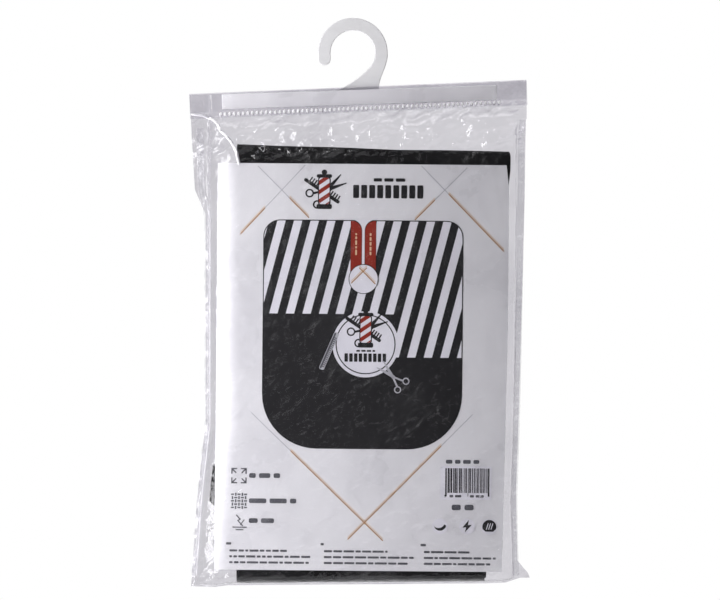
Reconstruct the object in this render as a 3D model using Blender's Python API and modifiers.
"""A folded barber cape in its clear hanging bag, with an insert card in front of it.

The bag is two sheets of film, welded along the sides and the bottom. Each sheet is folded over
a rail at the mouth and spot-welded under it. The back rail carries the moulded hook and a row of
studs, and the front rail snaps onto the studs. The front sheet folds at a crease under the
rails, and everything above that crease tips forward to open the mouth.

Frame: +X right, +Z up, and the front of the pack faces -Y. The origin is the point inside the
hook that bears on a peg. Sizes are in millimetres here, and metres() turns them into Blender's.
"""

import math

import bmesh
import bpy
import numpy as np
from mathutils import Matrix, Vector

# ---- driving sizes, in millimetres ----

FILM = 0.25                 # film thickness, as modelled
GAP = 0.3                   # clearance between neighbouring solids
MOUTH_TILT = 1.9            # degrees that the rails and hook lean, right end up

HOOK_EYE_RADIUS = 16.4      # inner radius of the hook
HOOK_BAND = 9.2             # width of the hook's band
HOOK_THICKNESS = 2.6
HOOK_LEG = 4.0              # straight run of the hook's tip below the eye's centre
HOOK_EDGE = 0.5             # rounding of the hook's edges
HOOK_FOOT = (-12.5, 18.3)   # ends of the hook's flared foot, along the rail
FLARE_OUTSIDE = ((26.6, -10.0), (17.5, -19.0))      # curve handles, from the eye's centre
FLARE_INSIDE = ((-1.0, -22.5), (9.0, -15.0))

MOUTH_LEFT = -119.6         # ends of the film's top edge
MOUTH_RIGHT = 127.9
MOUTH_TOP = -42.9
RAIL_CENTRE = 3.8
RAIL_LENGTH = 201.5
RAIL_HEIGHT = 11.0
RAIL_THICKNESS = 2.0
RAIL_TOP = MOUTH_TOP - 1.0
STUD_COUNT = 8
STUD_PITCH = 25.6
STUD_RADIUS = 2.0
STUD_REACH = 2.4            # how far a stud stands out of the back rail
STUD_RISE = 0.6             # how far the studs sit above the middle of the rail
SOCKET_PLAY = 0.3           # side clearance of a stud in its socket
SOCKET_DROP = 1.4           # extra height of the socket, for the arc that it leaves on
SOCKET_SKIN = 0.5           # plastic left in front of each socket
NOTCH_LENGTH = 36.0         # opening of the back hem around the hook's foot
NOTCH_CENTRE = 3.0
NOTCH_DEPTH = 1.5
RAIL_EDGE = 0.35
WELD_WIDTH = 2.0
CREASE = -70.0              # height of the fold that the mouth hinges on

CAPE_WIDTH = 200.0          # 1.40 m of cloth in seven columns
CAPE_HEIGHT = 311.0
CAPE_DEPTH = 18.3
CAPE_CENTRE = (12.3, -241.5)
CAPE_TILT = -0.6            # degrees
CAPE_SLOT = 3.4             # middle fold, where the neck closure lies

# The neck closure. Its places are measured from the middle of the folded cape.
TAPE = 1.0                  # thickness of the plackets and of the neckband
TAPE_DEPTH = 0.85           # how far behind the middle they lie
TAPE_EDGE = 0.2
PLACKET_WIDTH = 44.0
PLACKET_HEIGHT = 240.0
PLACKET_ASIDE = 26.0        # each placket's middle, left or right of the neck opening
PLACKET_RISE = 20.0
NECKBAND_LENGTH = 176.0
NECKBAND_HEIGHT = 38.0
NECKBAND_RISE = -122.0
CATCH_LEVELS = {"upper": -60.0, "lower": -84.0}
CATCH_METAL = 0.3
CATCH_HALF_WIDTH = 3.5
CATCH_PROFILE = ((-0.35, -5), (-0.35, 4.2), (-0.6, 4.8), (-0.95, 4.8), (-1.15, 4.2), (-1.15, -1))
CATCH_ASIDE = -10.0
EYE_COUNT = 3
EYE_PITCH = 12.0
EYE_FIRST = 14.0
EYE_WIRE = 0.4              # radius of the wire
EYE_BEND = 2.0              # radius of the loop's ends
EYE_HALF_LENGTH = 3.0
EYE_DEPTH = -0.4

CARD_WIDTH = 210.0          # A4
CARD_HEIGHT = 297.0
CARD_THICKNESS = 0.3
CARD_CENTRE = (5.1, -247.2)
CARD_TILT = -0.5            # degrees

# Left and right edges of the bag below the crease, as height and sideways place.
LEFT_EDGE = ((-70, -118.8), (-118, -116), (-136, -108.2), (-290, -108.2), (-346, -114.5), (-409, -118.8))
RIGHT_EDGE = ((-65, 127.3), (-150, 126), (-245, 123.3), (-325, 121), (-390, 117.5), (-405, 122))
BOTTOM_LEFT = -409.0
BOTTOM_RIGHT = -405.0
SEAM = 3.5                  # width of the welded margin
SHOULDER = 5.5              # distance from the bag's edge to where its front is at full depth
SHOULDER_BOTTOM = -399.0
SEAM_TOP = -402.0
LEVELS = (-118, -136, -290, -346)       # heights where the bag's sides change direction
WELD_INSET = 0.8            # from the bag's edge to a weld

# ---- depths, all measured along Y ----

BACK_FILM_Y = RAIL_THICKNESS / 2 + GAP + FILM / 2
BACK_HEM_Y = -BACK_FILM_Y
FRONT_HEM_Y = BACK_HEM_Y - FILM - GAP
FRONT_RAIL_Y = FRONT_HEM_Y - FILM / 2 - GAP - RAIL_THICKNESS / 2
FLAP_FILM_Y = FRONT_RAIL_Y - RAIL_THICKNESS / 2 - GAP - FILM / 2
CAPE_BACK = BACK_FILM_Y - FILM / 2 - GAP
CAPE_FRONT = CAPE_BACK - CAPE_DEPTH
CARD_Y = CAPE_FRONT - GAP - CARD_THICKNESS / 2
FRONT_FILM_Y = CARD_Y - CARD_THICKNESS / 2 - GAP - FILM / 2
WELD_THICKNESS = 0.2
SIDE_WELD_Y = BACK_FILM_Y - FILM / 2 - GAP - WELD_THICKNESS / 2
SEAM_FILM_Y = SIDE_WELD_Y - WELD_THICKNESS / 2 - GAP - FILM / 2
BACK_WELD_Y = BACK_FILM_Y - FILM / 2 - GAP - WELD_THICKNESS / 2
FRONT_WELD_Y = FLAP_FILM_Y + FILM / 2 + GAP + WELD_THICKNESS / 2

RAIL_BOTTOM = RAIL_TOP - RAIL_HEIGHT
HEM_PINCH = RAIL_BOTTOM - 1.6          # where the hem meets its own sheet, under the rail
HEM_BOTTOM = HEM_PINCH - WELD_WIDTH - 0.8
WELD_CENTRE = HEM_PINCH - 0.4 - WELD_WIDTH / 2

EYE_CENTRE = Vector((0, 0, -HOOK_EYE_RADIUS))
TILT = (
    Matrix.Translation(EYE_CENTRE)
    @ Matrix.Rotation(math.radians(-MOUTH_TILT), 4, "Y")
    @ Matrix.Translation(-EYE_CENTRE)
)


# ---- helpers ----


def metres(matrix_or_vector):
    """Scale a vector, or the translation of a matrix, from millimetres to metres."""
    if isinstance(matrix_or_vector, Matrix):
        scaled = matrix_or_vector.copy()
        scaled.translation *= 0.001
        return scaled
    return Vector(matrix_or_vector) * 0.001


def new_collection(name):
    made = bpy.data.collections.new(name)
    bpy.context.scene.collection.children.link(made)
    return made


def new_material(name, colour, roughness, metallic=0.0, alpha=1.0):
    made = bpy.data.materials.new(name)
    made.use_nodes = True
    shader = made.node_tree.nodes["Principled BSDF"]
    shader.inputs["Base Color"].default_value = (*colour, 1.0)
    shader.inputs["Roughness"].default_value = roughness
    shader.inputs["Metallic"].default_value = metallic
    shader.inputs["Alpha"].default_value = alpha
    return made


def add_object(name, data, material, group, matrix=None):
    """An object whose data is in metres, placed by a matrix that is in millimetres."""
    made = bpy.data.objects.new(name, data)
    if material:
        data.materials.append(material)
    group.objects.link(made)
    if matrix:
        made.matrix_world = metres(matrix)
    return made


def mesh_from(name, build):
    """A mesh filled by build(bm), which works in millimetres."""
    bm = bmesh.new()
    build(bm)
    bmesh.ops.scale(bm, vec=(0.001, 0.001, 0.001), verts=bm.verts)
    mesh = bpy.data.meshes.new(name)
    bm.to_mesh(mesh)
    bm.free()
    return mesh


def block_mesh(name, size, centre=(0, 0, 0)):
    place = Matrix.Translation(centre) @ Matrix.Diagonal((*size, 1))
    return mesh_from(name, lambda bm: bmesh.ops.create_cube(bm, size=1, matrix=place))


def sheet_mesh(name, columns, rows, place):
    """A grid of columns by rows cells, whose point (column, row) goes to place(column, row)."""

    def build(bm):
        bmesh.ops.create_grid(bm, x_segments=columns, y_segments=rows, size=1)
        for vert in bm.verts:
            column = round((vert.co.x + 1) / 2 * columns)
            row = round((1 - vert.co.y) / 2 * rows)
            vert.co = place(column, row)

    return mesh_from(name, build)


def pegs_mesh(name, places, radius, height, depth, centre_y):
    """Round or upright-oval pegs along Y, one at each (x, z) of places."""

    def build(bm):
        for x, z in places:
            bmesh.ops.create_cone(
                bm, cap_ends=True, segments=16, radius1=radius, radius2=radius, depth=depth,
                matrix=Matrix.Translation((x, centre_y, z))
                @ Matrix.Diagonal((1, 1, height / (2 * radius), 1))
                @ Matrix.Rotation(math.radians(90), 4, "X"),
            )

    return mesh_from(name, build)


def solidify(made, thickness=FILM):
    wall = made.modifiers.new("wall", "SOLIDIFY")
    wall.thickness = thickness * 0.001
    wall.offset = 0


def bevel(made, width, segments=1):
    edge = made.modifiers.new("edge", "BEVEL")
    edge.width = width * 0.001
    edge.segments = segments


def combine(made, other, operation):
    """Boolean with a helper object, which is left in the cutters' collection."""
    other.hide_render = True
    other.display_type = "WIRE"
    step = made.modifiers.new(other.name, "BOOLEAN")
    step.operation = operation
    step.object = other


def hang_from(made, parent):
    """Parent an object to an empty and keep it where it is."""
    bpy.context.view_layer.update()
    made.parent = parent
    made.matrix_parent_inverse = parent.matrix_world.inverted()


def mesh_of_curve(curve_object):
    """Replace a curve object by its welded mesh, and return that mesh."""
    bpy.context.view_layer.update()
    evaluated = curve_object.evaluated_get(bpy.context.evaluated_depsgraph_get())
    mesh = bpy.data.meshes.new_from_object(evaluated)
    bpy.data.objects.remove(curve_object)
    bm = bmesh.new()
    bm.from_mesh(mesh)
    bmesh.ops.remove_doubles(bm, verts=bm.verts, dist=0.000001)
    bmesh.ops.recalc_face_normals(bm, faces=bm.faces)
    bm.to_mesh(mesh)
    bm.free()
    return mesh


def curve_points(spline, points):
    spline.points.add(len(points) - 1)
    for point, place in zip(spline.points, points):
        point.co = (*metres(place), 1)


def plate_mesh(name, outline, thickness, edge, group):
    """A flat plate in the XZ plane from an (x, z) outline, with rounded edges."""
    curve = bpy.data.curves.new(name, "CURVE")
    curve.dimensions = "2D"
    curve.fill_mode = "BOTH"
    curve.extrude = (thickness / 2 - edge) * 0.001
    curve.bevel_depth = edge * 0.001
    curve.bevel_resolution = 1
    curve.offset = -edge * 0.001
    spline = curve.splines.new("POLY")
    curve_points(spline, [(x, z, 0) for x, z in outline])
    spline.use_cyclic_u = True
    mesh = mesh_of_curve(add_object(name, curve, None, group))
    mesh.transform(Matrix.Rotation(math.radians(90), 4, "X"))
    return mesh


def arc(centre, radius, start, end, steps):
    angles = [math.radians(start + (end - start) * i / steps) for i in range(steps + 1)]
    return [(centre[0] + radius * math.cos(a), centre[1] + radius * math.sin(a)) for a in angles]


def bezier(a, b, c, d, steps):
    """Points of a cubic curve from a to d, without its first point."""
    points = []
    for i in range(1, steps + 1):
        t = i / steps
        weights = ((1 - t) ** 3, 3 * t * (1 - t) ** 2, 3 * t * t * (1 - t), t ** 3)
        points.append(tuple(sum(w * p[k] for w, p in zip(weights, (a, b, c, d))) for k in (0, 1)))
    return points


def edge_at(edge, z):
    """Sideways place of the bag's edge at a height."""
    heights, places = zip(*reversed(edge))
    return float(np.interp(z, heights, places))


def between(a, b, t):
    return a + (b - a) * t


# ---- the rails and the hook ----


def stud_places():
    first = RAIL_CENTRE - STUD_PITCH * (STUD_COUNT - 1) / 2
    middle = RAIL_TOP - RAIL_HEIGHT / 2 + STUD_RISE
    return [(first + i * STUD_PITCH, middle) for i in range(STUD_COUNT)]


def hook_outline():
    """The hook from its tip over the eye to its foot, which runs 1 mm into the rail."""
    centre = (0, EYE_CENTRE.z)
    outer = HOOK_EYE_RADIUS + HOOK_BAND
    foot = RAIL_TOP - 1
    outside = [(x, centre[1] + z) for x, z in FLARE_OUTSIDE]
    inside = [(x, centre[1] + z) for x, z in FLARE_INSIDE]
    tip = (-HOOK_EYE_RADIUS - HOOK_BAND / 2, centre[1] - HOOK_LEG)
    points = arc(tip, HOOK_BAND / 2, 360, 180, 8)
    points += arc(centre, outer, 180, 0, 24)
    points += bezier(points[-1], *outside, (HOOK_FOOT[1], foot), 8)
    points += [(HOOK_FOOT[0], foot), (HOOK_FOOT[0], RAIL_TOP)]
    leave = arc(centre, HOOK_EYE_RADIUS, -40, 180, 24)
    points += bezier((HOOK_FOOT[0], RAIL_TOP), *inside, leave[0], 8)
    points += leave[1:]
    return points


def make_hook_rail(parts, helpers, material):
    rail = add_object("hook_rail", plate_mesh("hook_rail", hook_outline(), HOOK_THICKNESS, HOOK_EDGE, parts),
                      material, parts, TILT)
    bar = add_object("bar", block_mesh("bar", (RAIL_LENGTH, RAIL_THICKNESS, RAIL_HEIGHT),
                                       (RAIL_CENTRE, 0, RAIL_TOP - RAIL_HEIGHT / 2)),
                     None, helpers, TILT)
    bevel(bar, RAIL_EDGE)
    combine(rail, bar, "UNION")
    length = STUD_REACH + RAIL_THICKNESS / 2
    studs = add_object("studs", pegs_mesh("studs", stud_places(), STUD_RADIUS, 2 * STUD_RADIUS, length,
                                          -length / 2), None, helpers, TILT)
    combine(rail, studs, "UNION")
    return rail


def make_socket_rail(parts, helpers, material):
    place = (RAIL_CENTRE, FRONT_RAIL_Y, RAIL_TOP - RAIL_HEIGHT / 2)
    rail = add_object("socket_rail",
                      block_mesh("socket_rail", (RAIL_LENGTH, RAIL_THICKNESS, RAIL_HEIGHT), place),
                      material, parts, TILT)
    bevel(rail, RAIL_EDGE)
    height = 2 * (STUD_RADIUS + SOCKET_PLAY) + SOCKET_DROP
    holes = [(x, z - SOCKET_DROP / 2) for x, z in stud_places()]
    bottom = FRONT_RAIL_Y - RAIL_THICKNESS / 2 + SOCKET_SKIN
    mouth = FRONT_RAIL_Y + RAIL_THICKNESS
    sockets = pegs_mesh("sockets", holes, STUD_RADIUS + SOCKET_PLAY, height, mouth - bottom,
                        (mouth + bottom) / 2)
    combine(rail, add_object("sockets", sockets, None, helpers, TILT), "DIFFERENCE")
    return rail


def make_hem_punch(helpers):
    """The punched holes that let the studs through both hems."""
    height = 2 * (STUD_RADIUS + 2 * SOCKET_PLAY) + 2 * SOCKET_DROP
    punch = pegs_mesh("hem_punch", stud_places(), STUD_RADIUS + 2 * SOCKET_PLAY, height,
                      BACK_HEM_Y - FRONT_HEM_Y + FILM + GAP, (FRONT_HEM_Y + BACK_HEM_Y) / 2)
    return add_object("hem_punch", punch, None, helpers, TILT)


def make_hook_notch(helpers):
    """The notch in the top fold of the back sheet, where the hook's foot comes through."""
    size = (NOTCH_LENGTH, 8 * GAP + RAIL_THICKNESS, 4 * NOTCH_DEPTH)
    notch = block_mesh("hook_notch", size, (NOTCH_CENTRE, 0, RAIL_TOP + NOTCH_DEPTH))
    return add_object("hook_notch", notch, None, helpers, TILT)


def make_rail_weld(name, y, parts, material):
    size = (RAIL_LENGTH + 8, WELD_THICKNESS, WELD_WIDTH)
    return add_object(name, block_mesh(name, size, (RAIL_CENTRE, y, WELD_CENTRE)), material, parts, TILT)


# ---- the film sheets ----


def hem_profile(sheet_y, hem_y, weld_y):
    """Section of a hem, from its loose edge up the inside and over the rail, as (y, z)."""
    inward = 1 if hem_y > sheet_y else -1
    pinch_y = weld_y + inward * (WELD_THICKNESS / 2 + GAP + FILM / 2)
    return [(pinch_y, HEM_BOTTOM), (pinch_y, HEM_PINCH), (hem_y, RAIL_BOTTOM - 0.2),
            (hem_y, MOUTH_TOP - 0.4), (between(hem_y, sheet_y, 0.2), MOUTH_TOP),
            (between(hem_y, sheet_y, 0.8), MOUTH_TOP), (sheet_y, MOUTH_TOP - 0.4)]


def make_flap_film(parts, punch, material):
    """The front sheet above the crease: a slope up to the rail, then the hem around it."""
    profile = hem_profile(FLAP_FILM_Y, FRONT_HEM_Y, FRONT_WELD_Y)
    profile += [(FLAP_FILM_Y, HEM_BOTTOM), (FRONT_FILM_Y, CREASE + GAP)]
    last = len(profile) - 1
    across = (MOUTH_LEFT, MOUTH_LEFT + 2 * SHOULDER, MOUTH_RIGHT - 2 * SHOULDER, MOUTH_RIGHT)

    def place(column, row):
        y, z = profile[row]
        if row == last and column in (0, 3):
            y = FLAP_FILM_Y
        return (across[column], y, z)

    flap = add_object("flap_film", sheet_mesh("flap_film", 3, last, place), material, parts, TILT)
    solidify(flap)
    combine(flap, punch, "DIFFERENCE")
    return flap


def seam_inner(column, z):
    """Sideways places across the bag at a height: edge, seam, shoulder, and the same again."""
    left = edge_at(LEFT_EDGE, z)
    right = edge_at(RIGHT_EDGE, z)
    places = (left, left + SEAM, left + SHOULDER, right - SHOULDER, right - SEAM, right)
    return places[column]


def bottom_at(x, rise):
    """Height of the bag's bottom edge, which is not quite level, plus a rise above it."""
    left = LEFT_EDGE[-1][1]
    right = RIGHT_EDGE[-1][1]
    return between(BOTTOM_LEFT, BOTTOM_RIGHT, (x - left) / (right - left)) + rise


def make_front_film(parts, material):
    """The front sheet below the crease: a shallow tray around the card and the cape."""
    levels = [CREASE - GAP, *LEVELS, SHOULDER_BOTTOM, SEAM_TOP, None]

    def place(column, row):
        deep = column in (2, 3) and row <= 5
        y = FRONT_FILM_Y if deep else SEAM_FILM_Y
        if row == 0:
            fraction = (0, SEAM, SHOULDER, -SHOULDER, -SEAM, 0)[column]
            end = edge_at(LEFT_EDGE, CREASE) if column < 3 else edge_at(RIGHT_EDGE, CREASE)
            return TILT @ Vector((end + fraction, y, levels[0]))
        z = levels[row]
        if z is None:
            x = seam_inner(column, LEFT_EDGE[-1][0])
            z = bottom_at(x, 0)
        else:
            x = seam_inner(column, z)
        return (x, y, z)

    front = add_object("front_film", sheet_mesh("front_film", 5, len(levels) - 1, place), material, parts)
    solidify(front)
    return front


def make_back_film(parts, punch, notch, material):
    """The whole back sheet: flat, with its hem folded forward over the back rail."""
    profile = hem_profile(BACK_FILM_Y, BACK_HEM_Y, BACK_WELD_Y)
    levels = [CREASE - 5, *LEVELS, SEAM_TOP]

    def place(column, row):
        if row < len(profile):
            return TILT @ Vector(((MOUTH_LEFT, MOUTH_RIGHT)[column], *profile[row]))
        edge = (LEFT_EDGE, RIGHT_EDGE)[column]
        if row == len(profile) + len(levels):
            return (edge[-1][1], BACK_FILM_Y, (BOTTOM_LEFT, BOTTOM_RIGHT)[column])
        z = levels[row - len(profile)]
        return (edge_at(edge, z), BACK_FILM_Y, z)

    rows = len(profile) + len(levels)
    back = add_object("back_film", sheet_mesh("back_film", 1, rows, place), material, parts)
    solidify(back)
    combine(back, punch, "DIFFERENCE")
    combine(back, notch, "DIFFERENCE")
    return back


def make_side_weld(name, edge, inward, parts, material):
    """The fused line between the two sheets along one side, from the crease to the bottom."""
    levels = [CREASE - 12, *LEVELS, SEAM_TOP]
    offsets = (WELD_INSET * inward, (WELD_INSET + WELD_WIDTH) * inward)

    def place(column, row):
        z = levels[row]
        return (edge_at(edge, z) + offsets[column], SIDE_WELD_Y, z)

    weld = add_object(name, sheet_mesh(name, 1, len(levels) - 1, place), material, parts)
    solidify(weld, WELD_THICKNESS)
    return weld


def make_bottom_weld(parts, material):
    """The fused line along the bottom, between the ends of the side welds."""
    ends = (LEFT_EDGE[-1][1] + 3 * WELD_WIDTH, RIGHT_EDGE[-1][1] - 4 * WELD_WIDTH)
    rises = (WELD_INSET + WELD_WIDTH, WELD_INSET)

    def place(column, row):
        return (ends[column], SIDE_WELD_Y, bottom_at(ends[column], rises[row]))

    weld = add_object("bottom_weld", sheet_mesh("bottom_weld", 1, 1, place), material, parts)
    solidify(weld, WELD_THICKNESS)
    return weld


# ---- the card and the cape ----


def make_insert_card(parts, material):
    place = Matrix.Translation((CARD_CENTRE[0], CARD_Y, CARD_CENTRE[1]))
    place @= Matrix.Rotation(math.radians(-CARD_TILT), 4, "Y")
    size = (CARD_WIDTH, CARD_THICKNESS, CARD_HEIGHT)
    return add_object("insert_card", block_mesh("insert_card", size), material, parts, place)


def cape_frame():
    middle = (CAPE_BACK + CAPE_FRONT) / 2
    return (Matrix.Translation((CAPE_CENTRE[0], middle, CAPE_CENTRE[1]))
            @ Matrix.Rotation(math.radians(-CAPE_TILT), 4, "Y"))


def make_cape_cloth(parts, material):
    """Two stacks of plies joined by the fold on the left, around a slot for the closure."""
    half = CAPE_WIDTH / 2
    depth = CAPE_DEPTH / 2
    slot = CAPE_SLOT / 2
    fold = (-half + depth, 0)
    outline = arc(fold, depth, 90, 270, 12) + [(half, -depth), (half, -slot)]
    outline += list(reversed(arc(fold, slot, 90, 270, 6))) + [(half, slot), (half, depth)]
    curve = bpy.data.curves.new("cape_cloth", "CURVE")
    curve.dimensions = "2D"
    curve.fill_mode = "BOTH"
    curve.extrude = CAPE_HEIGHT / 2 * 0.001
    spline = curve.splines.new("POLY")
    curve_points(spline, [(x, y, 0) for x, y in outline])
    spline.use_cyclic_u = True
    mesh = mesh_of_curve(add_object("cape_cloth", curve, None, parts))
    return add_object("cape_cloth", mesh, material, parts, cape_frame())


def make_tape(name, size, x, z, parts, material):
    """A flat strip sewn at the neck: a placket or the neckband."""
    place = cape_frame() @ Matrix.Translation((x, TAPE_DEPTH, z))
    tape = add_object(name, block_mesh(name, (size[0], TAPE, size[1])), material, parts, place)
    bevel(tape, TAPE_EDGE)
    return tape


def make_closure_hook(name, x, z, parts, material):
    """A flat hook of sheet metal, with its tongue bent back over its plate."""
    ends = (-CATCH_HALF_WIDTH, CATCH_HALF_WIDTH)
    mesh = sheet_mesh(name, 1, len(CATCH_PROFILE) - 1,
                      lambda column, row: (ends[column], *CATCH_PROFILE[row]))
    hook = add_object(name, mesh, material, parts, cape_frame() @ Matrix.Translation((x, 0, z)))
    solidify(hook, CATCH_METAL)
    return hook


def make_eye_bar(name, x, z, parts, material):
    """A wire loop that the hook catches in, sewn to the other placket."""
    curve = bpy.data.curves.new(name, "CURVE")
    curve.dimensions = "3D"
    curve.bevel_depth = EYE_WIRE * 0.001
    curve.bevel_resolution = 1
    spline = curve.splines.new("POLY")
    loop = arc((EYE_HALF_LENGTH, 0), EYE_BEND, -90, 90, 6)
    loop += arc((-EYE_HALF_LENGTH, 0), EYE_BEND, 90, 270, 6)
    curve_points(spline, [(u, 0, v) for u, v in loop])
    spline.use_cyclic_u = True
    mesh = mesh_of_curve(add_object(name, curve, None, parts))
    place = cape_frame() @ Matrix.Translation((x, EYE_DEPTH, z))
    return add_object(name, mesh, material, parts, place)


def make_neck_closure(parts, red, black, steel):
    """The parts sewn at the cape's neck, folded into the middle of the stack."""
    for name, x in (("left_placket", -PLACKET_ASIDE), ("right_placket", PLACKET_ASIDE)):
        make_tape(name, (PLACKET_WIDTH, PLACKET_HEIGHT), x, PLACKET_RISE, parts, red)
    make_tape("neckband", (NECKBAND_LENGTH, NECKBAND_HEIGHT), 0, NECKBAND_RISE, parts, black)
    for level, z in CATCH_LEVELS.items():
        make_closure_hook(f"closure_hook_{level}", CATCH_ASIDE, z, parts, steel)
        for position in range(EYE_COUNT):
            x = EYE_FIRST + EYE_PITCH * position
            make_eye_bar(f"eye_bar_{level}_{position + 1}", x, z, parts, steel)


# ---- assembly ----


def main():
    for old in list(bpy.data.objects):
        bpy.data.objects.remove(old)
    parts = new_collection("barber_cape_pack")
    helpers = new_collection("cutters")

    film = new_material("clear_film", (0.86, 0.85, 0.88), 0.12, alpha=0.25)
    weld = new_material("welded_film", (0.9, 0.9, 0.92), 0.4, alpha=0.5)
    rail = new_material("frosted_plastic", (0.84, 0.83, 0.86), 0.35)
    card = new_material("printed_card", (0.8, 0.79, 0.84), 0.6)
    cloth = new_material("black_polyester", (0.012, 0.011, 0.013), 0.7)
    tape = new_material("red_tape", (0.3, 0.03, 0.02), 0.6)
    steel = new_material("hook_steel", (0.6, 0.6, 0.62), 0.3, metallic=1.0)

    punch = make_hem_punch(helpers)
    notch = make_hook_notch(helpers)
    make_back_film(parts, punch, notch, film)
    make_front_film(parts, film)
    make_side_weld("left_side_weld", LEFT_EDGE, 1, parts, weld)
    make_side_weld("right_side_weld", RIGHT_EDGE, -1, parts, weld)
    make_bottom_weld(parts, weld)
    make_hook_rail(parts, helpers, rail)
    make_rail_weld("back_rail_weld", BACK_WELD_Y, parts, weld)

    hinge = bpy.data.objects.new("mouth_hinge", None)
    parts.objects.link(hinge)
    hinge.matrix_world = metres(TILT @ Matrix.Translation((0, FRONT_FILM_Y, CREASE)))
    mouth = [
        make_flap_film(parts, punch, film),
        make_socket_rail(parts, helpers, rail),
        make_rail_weld("front_rail_weld", FRONT_WELD_Y, parts, weld),
    ]
    for piece in mouth:
        hang_from(piece, hinge)

    make_insert_card(parts, card)
    make_cape_cloth(parts, cloth)
    make_neck_closure(parts, tape, cloth, steel)


main()
